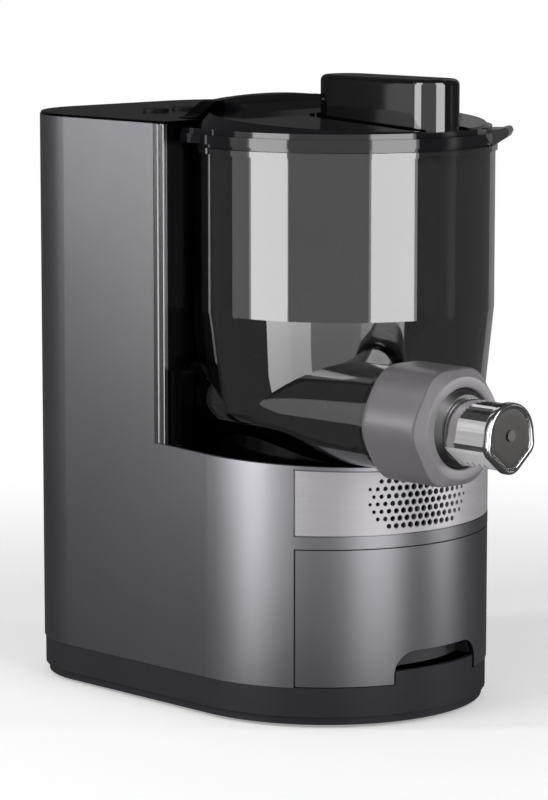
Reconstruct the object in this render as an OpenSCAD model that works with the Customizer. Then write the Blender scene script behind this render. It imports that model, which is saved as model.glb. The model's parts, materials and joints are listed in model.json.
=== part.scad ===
/* [Housing] */
// Width of the body across its flat sides
body_w = 198; // [192:1:206]
// Distance from the centre of the round front back to the column's front face
bay_back = 36; // [34:1:40]
// Depth of the column from its front face to its back
column_d = 150; // [143:1:162]
// Radius of the two rear corners
rear_r = 60; // [45:1:70]
// Height of the column's side walls above the table
column_top = 351; // [345:1:365]
// Wall thickness of the housing
wall = 3; // [2.5:0.25:3.5]
// Height of the ledge round the cup, at the centre of the round front
ledge_z = 158.6; // [156:0.2:161]
// Fall of the ledge towards the front, in degrees
ledge_tilt = 2.3; // [1:0.1:2.6]
// Width of the bright strip on each front edge of the column
trim_w = 9; // [6:0.5:12]
// Thickness of the bright strip
trim_t = 2; // [1.5:0.1:2.2]

/* [Base] */
// Height of the rubber feet that shows below the base
foot_h = 7; // [5:0.5:8]
// Radius of a rubber foot
foot_r = 9; // [7:0.5:11]
// Height of the base tray
base_h = 17.5; // [15:0.5:19]
// Thickness of the base tray's floor
base_floor = 3; // [2.5:0.5:4]

/* [Drawer and vent] */
// Half of the width of the drawer front and the vent plate
front_half_w = 81.5; // [79:0.5:83]
// Height of the drawer front
drawer_h = 82; // [76:1:84]
// Height of the bar between the drawer and the vent plate
bar_h = 8; // [7:0.5:10]
// Width of the seam round the drawer front and the vent plate
seam = 0.7; // [0.5:0.1:0.9]
// Half of the width of the drawer's box
box_half_w = 72; // [66:1:73]
// Wall thickness of the drawer's box
box_wall = 2.2; // [1.8:0.2:2.6]
// Half of the width of the finger notch under the drawer front
notch_half_w = 34.5; // [30:0.5:38]
// Height of the finger notch
notch_h = 19; // [17:0.5:24]
// Corner radius of the finger notch
notch_r = 14; // [10:1:16]
// Height of the base tray's lip inside the finger notch
lip_h = 8; // [6:0.5:10]
// Thickness of the vent plate
vent_t = 1.8; // [1.4:0.1:2]
// Distance between neighbouring vent holes
vent_pitch = 4.7; // [4.5:0.1:5.2]
// Radius of the largest vent hole
vent_hole_r = 1.9; // [1.5:0.1:2]
// Where the vent holes are centred on the round front, in degrees to the left
vent_angle = 9; // [5:1:12]

/* [Cup] */
// Distance of the cup's centre in front of the centre of the round front
cup_fwd = 14; // [12:1:16]
// Outer radius of the cup's wall
cup_r = 91.5; // [89:0.5:92]
// Wall thickness of the cup and the barrel
cup_wall = 3; // [2.5:0.25:3.5]
// Outer radius of the cup at its foot
cup_foot_r = 86; // [84:0.5:88]
// Radius of the rounding round the cup's foot
cup_foot_round = 15; // [12:1:16]
// Height of the collar round the cup's mouth
collar_h = 3.5; // [2.5:0.5:8]
// Height of the black seat that the cup stands on
seat_h = 17.5; // [16:0.5:19]
// Depth of the cup's deck below the ledge
deck_drop = 5.6; // [5:0.2:7]

/* [Extruder] */
// Distance of the extruder's axis to the left of the middle
screw_off = 55; // [54:0.5:56]
// Outer radius of the barrel
barrel_r = 30; // [29:0.5:31]
// Gap between the barrel and the ledge below it
barrel_gap = 2.4; // [2:0.2:4]
// Distance from the centre of the round front to the barrel's open end
barrel_reach = 128; // [124:1:134]
// Radius of the feed screw's shaft
screw_core_r = 9; // [8:0.5:11]
// Gap between the feed screw's thread and the barrel
screw_gap = 0.8; // [0.6:0.1:1.2]
// Length of one turn of the feed screw
screw_pitch = 29; // [24:1:36]
// Radius of the lock nut over its lobes
nut_r = 35.6; // [34.5:0.2:37]
// Length of the lock nut
nut_l = 46.5; // [42:0.5:50]
// Number of lobes round the lock nut
nut_lobes = 6; // [5:1:8]
// Depth of the hollows between the lobes
nut_dip = 2.2; // [1:0.2:2.6]
// Radius of the lock nut's front opening
nut_mouth_r = 23; // [22:0.5:24]
// Gap between the nut's mouth and the die's collar
mouth_gap = 0.6; // [0.5:0.1:1]
// Radius of the die's round top
die_r = 17.5; // [16:0.5:18.5]
// Distance from the extruder's axis down to the die's rounded bottom
die_drop = 21; // [20:0.5:22]
// Length of the die that shows in front of the lock nut
die_show = 32; // [28:1:36]
// Thickness of the die's end cap
cap_t = 5; // [4:0.5:7]

/* [Stirrer and gears] */
// Radius that the stirrer's paddles reach
stir_r = 55; // [50:1:56]
// Radius of the stirrer's shaft
stir_shaft_r = 7; // [6:0.5:8]
// Number of teeth on the feed screw's gear
screw_teeth = 34; // [32:1:34]
// Number of teeth on the stirrer's gear
stir_teeth = 51; // [50:1:52]
// Direction from the feed screw's axis up to the stirrer's axis, in degrees
stir_dir = 32; // [31:0.5:34]
// Number of teeth on every pinion
pinion_teeth = 16; // [16:1:18]
// Number of teeth on both idler wheels
idler_teeth = 60; // [56:1:60]
// Outer radius of the motor
motor_r = 35; // [32:1:36]
// Length of the motor
motor_l = 76; // [68:1:84]

/* [Lid and controls] */
// How far the lid's rim stands out beyond the cup's wall
rim_over = 1.5; // [1.3:0.1:4]
// Height of the lid's rim
rim_h = 5.4; // [4.5:0.1:7]
// How far the low step on the lid is drawn in from the rim
step_in = 3.5; // [2.5:0.5:4.5]
// Height of that step
step_h = 3.2; // [2:0.2:4]
// How far the foot of the lid's raised middle is drawn in from the step
dome_in = 2; // [1.5:0.5:4.5]
// Slope of the raised middle's side, in degrees
dome_slope = 45; // [35:1:60]
// Fall of the raised middle towards the front, in degrees
dome_tilt = 3; // [2:0.1:4]
// Radius of the handle's round ends
handle_r = 16.5; // [14:0.5:18]
// Distance between the centres of the handle's round ends
handle_l = 68; // [60:1:72]
// Height of the handle above the raised middle, over the cup's centre
handle_h = 24.8; // [21:0.1:28]
// Wall thickness of the lid
lid_wall = 2.6; // [2.2:0.2:3]
// Radius of a push button
button_r = 8; // [6:0.5:9]
// Travel of a push button
button_travel = 1.2; // [0.8:0.1:1.5]
// Gap round a push button
button_gap = 0.4; // [0.3:0.1:0.6]
// Radius of the hole for the mains lead
lead_r = 3.6; // [3:0.2:4.2]

/* [Hidden] */
$fn = 72;
eps = 0.01;

// Half sizes and places measured from the centre of the round front
half_w = body_w / 2;
rear_y = bay_back + column_d;
seam_z = foot_h + base_h;
cup_y = -cup_fwd;
deck_z = ledge_z - deck_drop;
cup_z = deck_z + seat_h;
mouth_z = column_top - 13;
cup_back = bay_back - 1;
screw_x = -screw_off;
// The barrel crosses the ledge near the front, where the ledge has fallen
cross_y = -sqrt(pow(half_w, 2) - pow(screw_off, 2));
screw_z = ledge_z + cross_y * tan(ledge_tilt) + barrel_gap + barrel_r;
bore_r = barrel_r - cup_wall;
nut_y = -(barrel_reach - 9);
die_end = -nut_y + nut_l + die_show + cap_t;
// The whole part is centred front to back on its own length
mid_y = (die_end - rear_y) / 2;

// Gear train: module, pitch radii and axes
out_mod = 2;
idler_mod = 1;
small_pinion_r = pinion_teeth * idler_mod / 2;
idler_r = idler_teeth * idler_mod / 2;
gear_dist = (screw_teeth + stir_teeth) * out_mod / 2;
stir_x = screw_x + gear_dist * cos(stir_dir);
stir_z = screw_z + gear_dist * sin(stir_dir);
dir_a = -62;
dist_a = (screw_teeth + pinion_teeth) * out_mod / 2;
first_x = screw_x + dist_a * cos(dir_a);
first_z = screw_z + dist_a * sin(dir_a);
dir_b = -15;
dist_b = idler_r + small_pinion_r;
second_x = first_x + dist_b * cos(dir_b);
second_z = first_z + dist_b * sin(dir_b);
dir_c = 40;
motor_x = second_x + dist_b * cos(dir_c);
motor_z = second_z + dist_b * sin(dir_c);
// Rear faces of the gear layers, behind the column's front face
face_t = 3;
bearing_r = 13;
bearing_w = 7;
gear_w = 12;
thin_gear_w = 6;
face_bearing_y = bay_back + face_t + bearing_w;
layer_out = face_bearing_y + 1;
layer_first = layer_out + gear_w + 2;
layer_second = layer_first + thin_gear_w + 2;
plate_y = layer_second + thin_gear_w + 3;
plate_t = 4;
shaft_r = 8;
run_fit = 0.05;
hex_r = 5.5;
hex_fit = 0.2;
pin_r = 3;

// Lid hinge on the column's top
panel_t = 1.5;
panel_z = column_top + panel_t;
lid_r = cup_r + rim_over;
step_r = lid_r - step_in;
dome_r = step_r - dome_in;
hinge_r = 6;
hinge_y = bay_back + 14;
hinge_z = panel_z + hinge_r + 0.6;
hinge_half = 42;
hinge_pin_r = 2;
// The hood over the hinge is arched: its crown, and how far it falls to its ends
hood_z = hinge_z + hinge_r - 0.4;
hood_fall = 2.4;
rim_z = mouth_z + 0.3;
neck_h = 1.9;
step_z = rim_z + neck_h + rim_h + step_h;
dome_low = 0.6;
dome_z = step_z + dome_low + dome_r * tan(dome_tilt);
handle_y = cup_y - 5;
tab_angle = 36;

// Turns a module drawn upwards so that it runs from the back (y) towards the front
module along_front(x, y, z) translate([x, y, z]) rotate([90, 0, 0]) children();

// Everything is drawn from the centre of the round front and moved here in one place
module placed() translate([0, mid_y, 0]) children();

// Outline of the body seen from above, drawn in from its outer face by inset
module plan(inset = 0) {
    r = half_w - inset;
    corner_x = half_w - rear_r;
    circle(r = r);
    translate([-r, 0]) square([2 * r, rear_y - rear_r]);
    for (side = [-1, 1])
        translate([side * corner_x, rear_y - rear_r]) circle(r = rear_r - inset);
    translate([-corner_x, 0]) square([2 * corner_x, rear_y - inset]);
}

// All the space in front of the column and above the ledge, lowered by drop
module above_ledge(drop = 0) {
    intersection() {
        translate([0, 0, ledge_z - drop]) rotate([ledge_tilt, 0, 0])
            translate([-body_w, -body_w, 0]) cube([2 * body_w, 2 * body_w, 2 * column_top]);
        translate([-body_w, -body_w, 0]) cube([2 * body_w, body_w + bay_back, 2 * column_top]);
    }
}

// A block that reaches through the round front between two heights
module front_block(half, z0, z1) {
    translate([-half, -body_w, z0]) cube([2 * half, body_w - 30, z1 - z0]);
}

drawer_top = seam_z + drawer_h;
vent_z0 = drawer_top + bar_h;
vent_drop = 2;
// Bottom end of the bright strips, where the ledge meets the column
trim_z = ledge_z + bay_back * tan(ledge_tilt);
screw_r = 1.6;
screw_hole_r = screw_r + 0.05;
boss_r = 7;
boss_in = wall + boss_r - 1;
boss_x = half_w - boss_in;
boss_spots = [[-boss_x, 25], [boss_x, 25], [-boss_x, rear_y - 66], [boss_x, rear_y - 66],
              [0, rear_y - boss_in]];
gland_x = 25;
gland_z = seam_z + 22;
gland_r = 7;

module housing_shell() {
    color("dimgray") placed() difference() {
        union() {
            difference() {
                translate([0, 0, seam_z]) linear_extrude(column_top - seam_z) plan();
                translate([0, 0, seam_z - 1]) linear_extrude(column_top - seam_z + 2) plan(wall);
            }
            intersection() {
                translate([0, 0, seam_z]) linear_extrude(16) plan(wall - 1);
                for (p = boss_spots)
                    translate([p[0], p[1], seam_z]) cylinder(r = boss_r, h = 16);
            }
        }
        above_ledge();
        // Drawer opening, open at the bottom
        front_block(front_half_w, seam_z - 1, drawer_top + seam);
        // Window behind the vent plate and the rebate that the plate lies in
        difference() {
            front_block(front_half_w - 5, vent_z0 + 4, column_top);
            above_ledge(vent_drop + 4);
        }
        difference() {
            front_block(front_half_w, vent_z0, column_top);
            above_ledge(vent_drop);
            cylinder(r = half_w - vent_t - 0.1, h = column_top);
        }
        // Rebates for the bright strips
        for (side = [-1, 1])
            translate([side * (half_w - trim_t / 2), bay_back + trim_w / 2, trim_z + column_top / 2])
                cube([trim_t + eps, trim_w, column_top], center = true);
        for (p = boss_spots)
            translate([p[0], p[1], seam_z - 1]) cylinder(r = screw_hole_r, h = 14);
        along_front(gland_x, rear_y + 1, gland_z) cylinder(r = gland_r, h = wall + 2);
        // Cooling slots in the back
        for (i = [0 : 7])
            translate([-30, rear_y - wall - 1, seam_z + 50 + i * 7]) cube([60, wall + 2, 3]);
    }
}

trim_groove_w = 1;
trim_groove_d = 0.6;

// Bright strips, each with a fine groove down its middle
module edge_trims() {
    color("lightgray") placed() for (side = [-1, 1]) difference() {
        translate([side * (half_w - trim_t / 2), bay_back + trim_w / 2, (trim_z + column_top) / 2])
            cube([trim_t, trim_w, column_top - trim_z], center = true);
        translate([side * half_w, bay_back + trim_w / 2, (trim_z + column_top) / 2])
            cube([2 * trim_groove_d, trim_groove_w, column_top], center = true);
    }
}

foot_x = half_w - 34;
foot_spots = [[-foot_x, -30], [foot_x, -30], [-foot_x, rear_y - 50], [foot_x, rear_y - 50]];
foot_in = 2;
head_r = 3;
head_h = 3;
// Ring below the base that hides the feet
ring_in = 3;
ring_t = 2.5;
ring_z = 2;
base_gap = 0.8;
lip_half_w = notch_half_w - 1.5;

module base_tray() {
    color("#3a3a3d") placed() difference() {
        union() {
            translate([0, 0, foot_h]) linear_extrude(base_h) plan(base_gap);
            translate([0, 0, ring_z]) linear_extrude(foot_h - ring_z + 1) difference() {
                plan(ring_in);
                plan(ring_in + ring_t);
            }
            // Lip that rises in the drawer's finger notch
            intersection() {
                cylinder(r = half_w - base_gap, h = seam_z + lip_h);
                front_block(lip_half_w, seam_z - 1, seam_z + lip_h);
            }
        }
        translate([0, 0, foot_h + base_floor]) linear_extrude(base_h + lip_h) plan(base_gap + wall);
        for (p = foot_spots)
            translate([p[0], p[1], 0]) cylinder(r = foot_r + 0.1, h = foot_h + foot_in - 2);
        for (p = boss_spots) {
            translate([p[0], p[1], 0]) cylinder(r = 2, h = seam_z);
            translate([p[0], p[1], 0]) cylinder(r = head_r + 0.3, h = foot_h + 1);
        }
        // Air slots under the motor
        for (i = [0 : 5])
            translate([-36 + i * 13, 80, 0]) cube([5, 60, foot_h + base_floor + 1]);
    }
    color("#3a3a3d") placed() difference() {
        for (p = boss_spots)
            translate([p[0], p[1], foot_h + base_floor - eps])
                cylinder(r = boss_r - 1, h = base_h - base_floor + eps);
        for (p = boss_spots)
            translate([p[0], p[1], 0]) cylinder(r = 2, h = seam_z + 1);
        difference() {
            translate([0, 0, foot_h]) linear_extrude(base_h + 1) square(3 * body_w, center = true);
            translate([0, 0, foot_h - 1]) linear_extrude(base_h + 3) plan(base_gap + wall - eps);
        }
    }
}

module rubber_feet() {
    color("#202022") placed() for (p = foot_spots)
        translate([p[0], p[1], 0]) cylinder(r = foot_r, h = foot_h + foot_in - 2);
}

module base_screws() {
    color("silver") placed() for (p = boss_spots) {
        translate([p[0], p[1], foot_h + 1 - head_h]) cylinder(r = head_r, h = head_h);
        translate([p[0], p[1], foot_h + 1 - eps]) cylinder(r = screw_r, h = base_h + 8);
    }
}

guide_w = 9;
guide_d = 11;
guide_h = 52;
collar_r = lid_r - 0.2;
// Lowest edge of the column face and the gear plate
plate_low = screw_z - 60;

module column_face() {
    face_half = half_w - wall;
    color("#141416") placed() difference() {
        union() {
            translate([-face_half, bay_back, plate_low])
                cube([2 * face_half, face_t, column_top - plate_low]);
            for (side = [-1, 1])
                translate([side * (face_half - guide_w / 2 - 1) - guide_w / 2, bay_back - guide_d, deck_z])
                    cube([guide_w, guide_d + eps, guide_h]);
            for (p = [[screw_x, screw_z], [stir_x, stir_z]])
                along_front(p[0], face_bearing_y, p[1]) cylinder(r = bearing_r + 3, h = bearing_w + 1);
        }
        for (p = [[screw_x, screw_z], [stir_x, stir_z]]) {
            along_front(p[0], bay_back + face_t + 20, p[1]) cylinder(r = shaft_r + 1, h = 40);
            along_front(p[0], face_bearing_y + 1, p[1])
                cylinder(r = bearing_r + run_fit, h = bearing_w + 1);
        }
        for (p = pillar_spots)
            along_front(p[0], bay_back + face_t + 1, p[1]) cylinder(r = screw_hole_r, h = face_t);
    }
}

seat_r = cup_foot_r - 6;

module cup_deck() {
    color("#141416") placed() difference() {
        union() {
            intersection() {
                translate([0, 0, deck_z - 5]) linear_extrude(5) plan(wall);
                translate([-body_w, -body_w, 0]) cube([2 * body_w, body_w + bay_back, column_top]);
            }
            intersection() {
                translate([0, cup_y, deck_z - eps]) cylinder(r = seat_r, h = seat_h + eps);
                translate([-body_w, -body_w, 0]) cube([2 * body_w, body_w + bay_back - 2, column_top]);
            }
        }
        along_front(screw_x, bay_back + 1, screw_z) cylinder(r = barrel_r + 1, h = body_w);
    }
}

button_y = 112;
button_step = 24;
panel_skirt = 6;
window_w = 54;
window_d = 20;
window_y = 76;
window_t = 0.9;

module top_panel() {
    color("#161618") placed() difference() {
        union() {
            intersection() {
                translate([0, 0, column_top]) linear_extrude(panel_t) plan(0.6);
                behind(bay_back);
            }
            intersection() {
                translate([0, 0, column_top - panel_skirt]) linear_extrude(panel_skirt + 1) difference() {
                    plan(wall + 0.1);
                    plan(wall + 2.6);
                }
                behind(bay_back + face_t);
            }
        }
        for (i = [0 : 3])
            translate([(i - 1.5) * button_step, button_y, column_top - 1])
                cylinder(r = button_r + button_gap, h = panel_t + 2);
        translate([-window_w / 2, window_y, panel_z - window_t]) cube([window_w, window_d, window_t + 1]);
        translate([-window_w / 2 + 3, window_y + 3, column_top - 1])
            cube([window_w - 6, window_d - 6, panel_t + 2]);
    }
}

module display_window() {
    color("#0c2a30") placed()
        translate([-window_w / 2, window_y, panel_z - window_t]) cube([window_w, window_d, window_t]);
}

// A push button with a collar below the panel that keeps it in
module button(i) {
    x = (i - 1.5) * button_step;
    collar_t = 1.2;
    color("#c9c9cc") placed() translate([x, button_y, 0]) {
        translate([0, 0, column_top - collar_t - 0.1]) cylinder(r = button_r, h = panel_t + collar_t + 1.6);
        translate([0, 0, column_top - collar_t - 0.1]) cylinder(r = button_r + 1.6, h = collar_t);
        translate([0, 0, board_z + board_t + 2.4 + button_travel + 0.4])
            cylinder(r = 2, h = column_top - collar_t - board_z - board_t - 2.8 - button_travel);
    }
}
module button_start() button(0);
module button_mode() button(1);
module button_plus() button(2);
module button_minus() button(3);

board_z = column_top - 18;
board_t = 1.6;

module control_board() {
    color("darkgreen") placed() {
        translate([-52, window_y - 6, board_z]) cube([104, button_y - window_y + 24, board_t]);
        for (i = [0 : 3])
            translate([(i - 1.5) * button_step - 3, button_y - 3, board_z + board_t - eps])
                cube([6, 6, 2.4]);
        translate([-window_w / 2 + 5, window_y + 4, board_z + board_t - eps])
            cube([window_w - 10, window_d - 8, 10]);
        for (x = [-48, 48], y = [window_y - 2, button_y + 14])
            translate([x, y, board_z + board_t - eps])
                cylinder(r = 2.5, h = column_top - board_z - board_t + eps);
    }
}

power_w = 110;
power_l = 90;
power_y = 62;
power_lift = 8;

module power_board() {
    z0 = foot_h + base_floor;
    z1 = z0 + power_lift + board_t - eps;
    color("darkgreen") placed() {
        translate([-power_w / 2, power_y, z0 + power_lift]) cube([power_w, power_l, board_t]);
        for (x = [-1, 1], y = [5, power_l - 5])
            translate([x * (power_w / 2 - 5), power_y + y, z0]) cylinder(r = 3, h = power_lift + eps);
        // Transformer, two capacitors and a heat sink
        translate([10 - power_w / 2, power_y + 13, z1]) cube([34, 30, 28]);
        translate([8, power_y + 18, z1]) cylinder(r = 10, h = 30);
        translate([34, power_y + 18, z1]) cylinder(r = 8, h = 24);
        translate([15 - power_w / 2, power_y + 58, z1]) cube([70, 4, 30]);
    }
}

module cord_gland() {
    color("#1b1b1d") placed() difference() {
        union() {
            along_front(gland_x, rear_y, gland_z) cylinder(r = gland_r, h = wall + 8);
            along_front(gland_x, rear_y - wall, gland_z) cylinder(r = gland_r + 3, h = 3);
        }
        along_front(gland_x, rear_y + 1, gland_z) cylinder(r = lead_r, h = wall + 12);
    }
}

vent_rows = 8;
vent_half_angle = 21.5;

module vent_plate() {
    row_h = vent_pitch * 0.95;
    step = vent_pitch / half_w * 180 / PI;
    mid_z = vent_z0 + 21;
    color("lightgray") placed() difference() {
        intersection() {
            difference() {
                cylinder(r = half_w - 0.1, h = column_top);
                translate([0, 0, -1]) cylinder(r = half_w - vent_t, h = column_top + 2);
            }
            difference() {
                front_block(front_half_w - seam, vent_z0 + seam, column_top);
                above_ledge(vent_drop + seam);
            }
        }
        for (row = [0 : vent_rows - 1]) {
            dz = (row - (vent_rows - 1) / 2) * row_h;
            reach = vent_half_angle * sqrt(1 - pow(dz / (row_h * vent_rows * 0.62), 2));
            shift = row % 2 == 0 ? 0 : 0.5;
            for (k = [-9 : 9]) {
                turn = (k + shift) * step;
                size = vent_hole_r * (1 - 0.5 * pow(turn / vent_half_angle, 2));
                if (abs(turn) < reach)
                    translate([0, 0, mid_z + dz]) rotate([0, 0, -90 - vent_angle - turn]) rotate([0, 90, 0])
                        cylinder(r = size, h = body_w, $fn = 12);
            }
        }
    }
}

skin_r = half_w - 3.5;
notch_z = seam_z + seam;

// Outline of the finger notch, with its foot at the origin
module notch_shape(grow = 0) {
    flat = notch_half_w - notch_r;
    translate([-notch_half_w - grow, -10]) square([2 * (notch_half_w + grow), notch_h - notch_r + 10]);
    translate([-flat, -10]) square([2 * flat, notch_h + grow + 10]);
    for (side = [-1, 1])
        translate([side * flat, notch_h - notch_r]) circle(r = notch_r + grow);
}

module drawer_front() {
    color("dimgray") placed() difference() {
        intersection() {
            difference() {
                cylinder(r = half_w - 0.1, h = column_top);
                translate([0, 0, -1]) cylinder(r = skin_r, h = column_top + 2);
            }
            front_block(front_half_w - seam, seam_z + seam, drawer_top);
        }
        along_front(0, 0, notch_z) linear_extrude(body_w) notch_shape();
    }
}

tray_z = seam_z + lip_h + 0.5;
tray_h = drawer_top - 7 - tray_z;
tray_back = bay_back - 8;
pocket_r = half_w - 14;

module tray_plan(inset) {
    intersection() {
        circle(r = skin_r - inset);
        translate([-box_half_w + inset, -body_w])
            square([2 * (box_half_w - inset), body_w + tray_back - inset]);
    }
}

module drawer_tray() {
    color("#3a3a3d") placed() difference() {
        translate([0, 0, tray_z]) linear_extrude(tray_h) tray_plan(0);
        difference() {
            translate([0, 0, tray_z + box_wall]) linear_extrude(tray_h) tray_plan(box_wall);
            intersection() {
                along_front(0, 0, notch_z) linear_extrude(body_w) notch_shape(box_wall);
                difference() {
                    cylinder(r = body_w, h = column_top);
                    cylinder(r = pocket_r - box_wall, h = column_top);
                }
            }
        }
        intersection() {
            along_front(0, 0, notch_z) linear_extrude(body_w) notch_shape();
            difference() {
                cylinder(r = body_w, h = column_top);
                translate([0, 0, -1]) cylinder(r = pocket_r, h = column_top + 2);
            }
        }
    }
}

module drawer_rails() {
    z0 = foot_h + base_floor;
    x0 = box_half_w + 0.5;
    color("#2a2a2c") placed() for (side = [-1, 1]) {
        translate([side > 0 ? x0 : -x0 - 3, -40, z0]) cube([3, tray_back + 38, tray_z + 12 - z0]);
        translate([side > 0 ? x0 - 6 : -x0 - 1, -40, z0]) cube([7, tray_back + 38, tray_z - 0.5 - z0]);
    }
}

blower_x = -16;
blower_z = vent_z0 + 17;
blower_half = 16;
blower_y = 41 - half_w;
blower_l = 22;

module blower_case() {
    color("#1d1d20") placed() difference() {
        translate([blower_x - blower_half, blower_y - blower_l, blower_z - blower_half])
            cube([2 * blower_half, blower_l, deck_z - 5 - blower_z + blower_half]);
        along_front(blower_x, blower_y - 3, blower_z) cylinder(r = blower_half - 2, h = blower_l);
        along_front(blower_x, blower_y + 1, blower_z) cylinder(r = 2 + run_fit, h = 10);
    }
}

module blower_wheel() {
    color("#2b2b2e") placed() {
        along_front(blower_x, blower_y - 5, blower_z) cylinder(r = 6, h = 14);
        along_front(blower_x, blower_y + 2, blower_z) cylinder(r = 2, h = 9);
        for (k = [0 : 8])
            along_front(blower_x, blower_y - 6, blower_z) rotate([0, 0, k * 40])
                translate([3, -0.6, 0]) cube([blower_half - 6, 1.2, 12]);
    }
}

// A spur gear drawn upwards, with a tooth pointing along tooth_dir
module gear(n, mod, h, tooth_dir) {
    r = n * mod / 2;
    base_circle = r * cos(20);
    thick = 0.42;
    tip = r + 0.8 * mod;
    root = r - 1.05 * mod;
    half_at_pitch = 360 / n * thick / 2;
    radii = [root, base_circle > root ? base_circle : root + 0.2 * mod, r, tip];
    half = [for (q = radii) half_at_pitch + inv(20) - (q > base_circle ? inv(acos(base_circle / q)) : 0)];
    linear_extrude(h) polygon([
        for (k = [0 : n - 1]) let (mid = tooth_dir + k * 360 / n)
            each concat(
                [for (i = [0 : 3]) radii[i] * [cos(mid - half[i]), sin(mid - half[i])]],
                [for (i = [3 : -1 : 0]) radii[i] * [cos(mid + half[i]), sin(mid + half[i])]])
    ]);
}

// Involute of an angle in degrees
function inv(a) = tan(a) * 180 / PI - a;

function step_off(a, n) = (a % (360 / n) + 360 / n) % (360 / n);
// Direction of a tooth on the driven gear, so that a gap there meets the driver's tooth
function mate_dir(dir, n_driver, driver_dir, n) =
    dir + 180 + 180 / n + step_off(dir - driver_dir, n_driver) * n_driver / n;

screw_gear_dir = stir_dir;
stir_gear_dir = mate_dir(stir_dir, screw_teeth, screw_gear_dir, stir_teeth);
first_pinion_dir = mate_dir(dir_a, screw_teeth, screw_gear_dir, pinion_teeth);
first_wheel_dir = dir_b;
second_pinion_dir = mate_dir(dir_b, idler_teeth, first_wheel_dir, pinion_teeth);
second_wheel_dir = dir_c;
motor_pinion_dir = mate_dir(dir_c, idler_teeth, second_wheel_dir, pinion_teeth);

shaft_back = plate_y + plate_t + 3;

// Gear, shaft and hexagonal driver of one output
module output_gear(x, z, n, tooth_dir) {
    along_front(x, layer_out + gear_w, z) gear(n, out_mod, gear_w, tooth_dir);
    along_front(x, shaft_back, z) cylinder(r = shaft_r, h = shaft_back - bay_back);
    along_front(x, bay_back + eps, z) cylinder(r = hex_r, h = 10, $fn = 6);
}

module screw_gear() {
    color("khaki") placed() output_gear(screw_x, screw_z, screw_teeth, screw_gear_dir);
}

module stirrer_gear() {
    color("khaki") placed() output_gear(stir_x, stir_z, stir_teeth, stir_gear_dir);
}

module idler_first() {
    color("khaki") placed() difference() {
        union() {
            along_front(first_x, layer_out + gear_w, first_z)
                gear(pinion_teeth, out_mod, gear_w, first_pinion_dir);
            along_front(first_x, layer_first + thin_gear_w, first_z)
                gear(idler_teeth, idler_mod, thin_gear_w, first_wheel_dir);
            along_front(first_x, layer_first + eps, first_z) cylinder(r = 8, h = 3);
        }
        along_front(first_x, plate_y, first_z) cylinder(r = pin_r + run_fit, h = 60);
    }
}

module idler_second() {
    color("khaki") placed() difference() {
        union() {
            along_front(second_x, layer_first + thin_gear_w, second_z)
                gear(pinion_teeth, idler_mod, thin_gear_w, second_pinion_dir);
            along_front(second_x, layer_second + thin_gear_w, second_z)
                gear(idler_teeth, idler_mod, thin_gear_w, second_wheel_dir);
            along_front(second_x, layer_second + eps, second_z) cylinder(r = 6, h = 3);
        }
        along_front(second_x, plate_y + 1, second_z) cylinder(r = pin_r + run_fit, h = 60);
    }
}

module idler_pins() {
    color("silver") placed() {
        along_front(first_x, plate_y + plate_t, first_z)
            cylinder(r = pin_r, h = plate_y + plate_t - bay_back - face_t);
        along_front(second_x, plate_y + plate_t, second_z)
            cylinder(r = pin_r, h = plate_y + plate_t - layer_first + 2);
    }
}

// The gear plate is a low rectangle for the screw and idlers and a high one for the stirrer
plate_edge = 6;
low_plate_right = 71;
low_plate_up = 56;
high_plate_left = 38;
high_plate_right = 8;
high_plate_up = 48;
pillar_edge = 5.3;
pillar_spots = [[-half_w + plate_edge + 6, screw_z + low_plate_up - 6],
                [-half_w + plate_edge + 6, plate_low + 8],
                [low_plate_right - pillar_edge, plate_low + pillar_edge],
                [half_w - high_plate_right - 6, stir_z + 6],
                [8 - high_plate_left, stir_z + high_plate_up - 8]];

module gear_plate() {
    color("gray") placed() difference() {
        union() {
            translate([-half_w + plate_edge, plate_y, plate_low])
                cube([half_w - plate_edge + low_plate_right, plate_t, screw_z + low_plate_up - plate_low]);
            translate([-high_plate_left, plate_y, screw_z])
                cube([high_plate_left + half_w - high_plate_right, plate_t,
                      stir_z + high_plate_up - screw_z]);
            for (p = [[screw_x, screw_z], [stir_x, stir_z]])
                along_front(p[0], plate_y + plate_t + 3, p[1]) cylinder(r = bearing_r + 3, h = plate_t + 3);
        }
        for (p = [[screw_x, screw_z], [stir_x, stir_z]])
            along_front(p[0], plate_y + bearing_w + 1, p[1])
                cylinder(r = bearing_r + run_fit, h = bearing_w + 2);
        along_front(motor_x, plate_y + plate_t + 1, motor_z) cylinder(r = 11, h = plate_t + 2);
        for (p = pillar_spots)
            along_front(p[0], plate_y + plate_t + 1, p[1]) cylinder(r = screw_hole_r, h = plate_t + 2);
        for (p = [[first_x, first_z], [second_x, second_z]])
            along_front(p[0], plate_y + plate_t + 1, p[1]) cylinder(r = pin_r + run_fit, h = plate_t + 2);
    }
}

module plate_pillars() {
    color("silver") placed() for (p = pillar_spots) {
        along_front(p[0], plate_y, p[1]) cylinder(r = 4, h = plate_y - bay_back - face_t);
        along_front(p[0], plate_y + plate_t + 1, p[1])
            cylinder(r = screw_r, h = plate_y + plate_t - bay_back - 0.2);
        along_front(p[0], plate_y + plate_t + 3, p[1]) cylinder(r = 3.2, h = 3);
    }
}

module shaft_bearings() {
    color("silver") placed() for (p = [[screw_x, screw_z], [stir_x, stir_z]]) {
        for (y = [face_bearing_y, plate_y + bearing_w])
            along_front(p[0], y, p[1]) difference() {
                cylinder(r = bearing_r, h = bearing_w);
                translate([0, 0, -1]) cylinder(r = shaft_r + run_fit, h = bearing_w + 2);
            }
    }
}

motor_front = plate_y + plate_t;
fan_r = 30;

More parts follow.
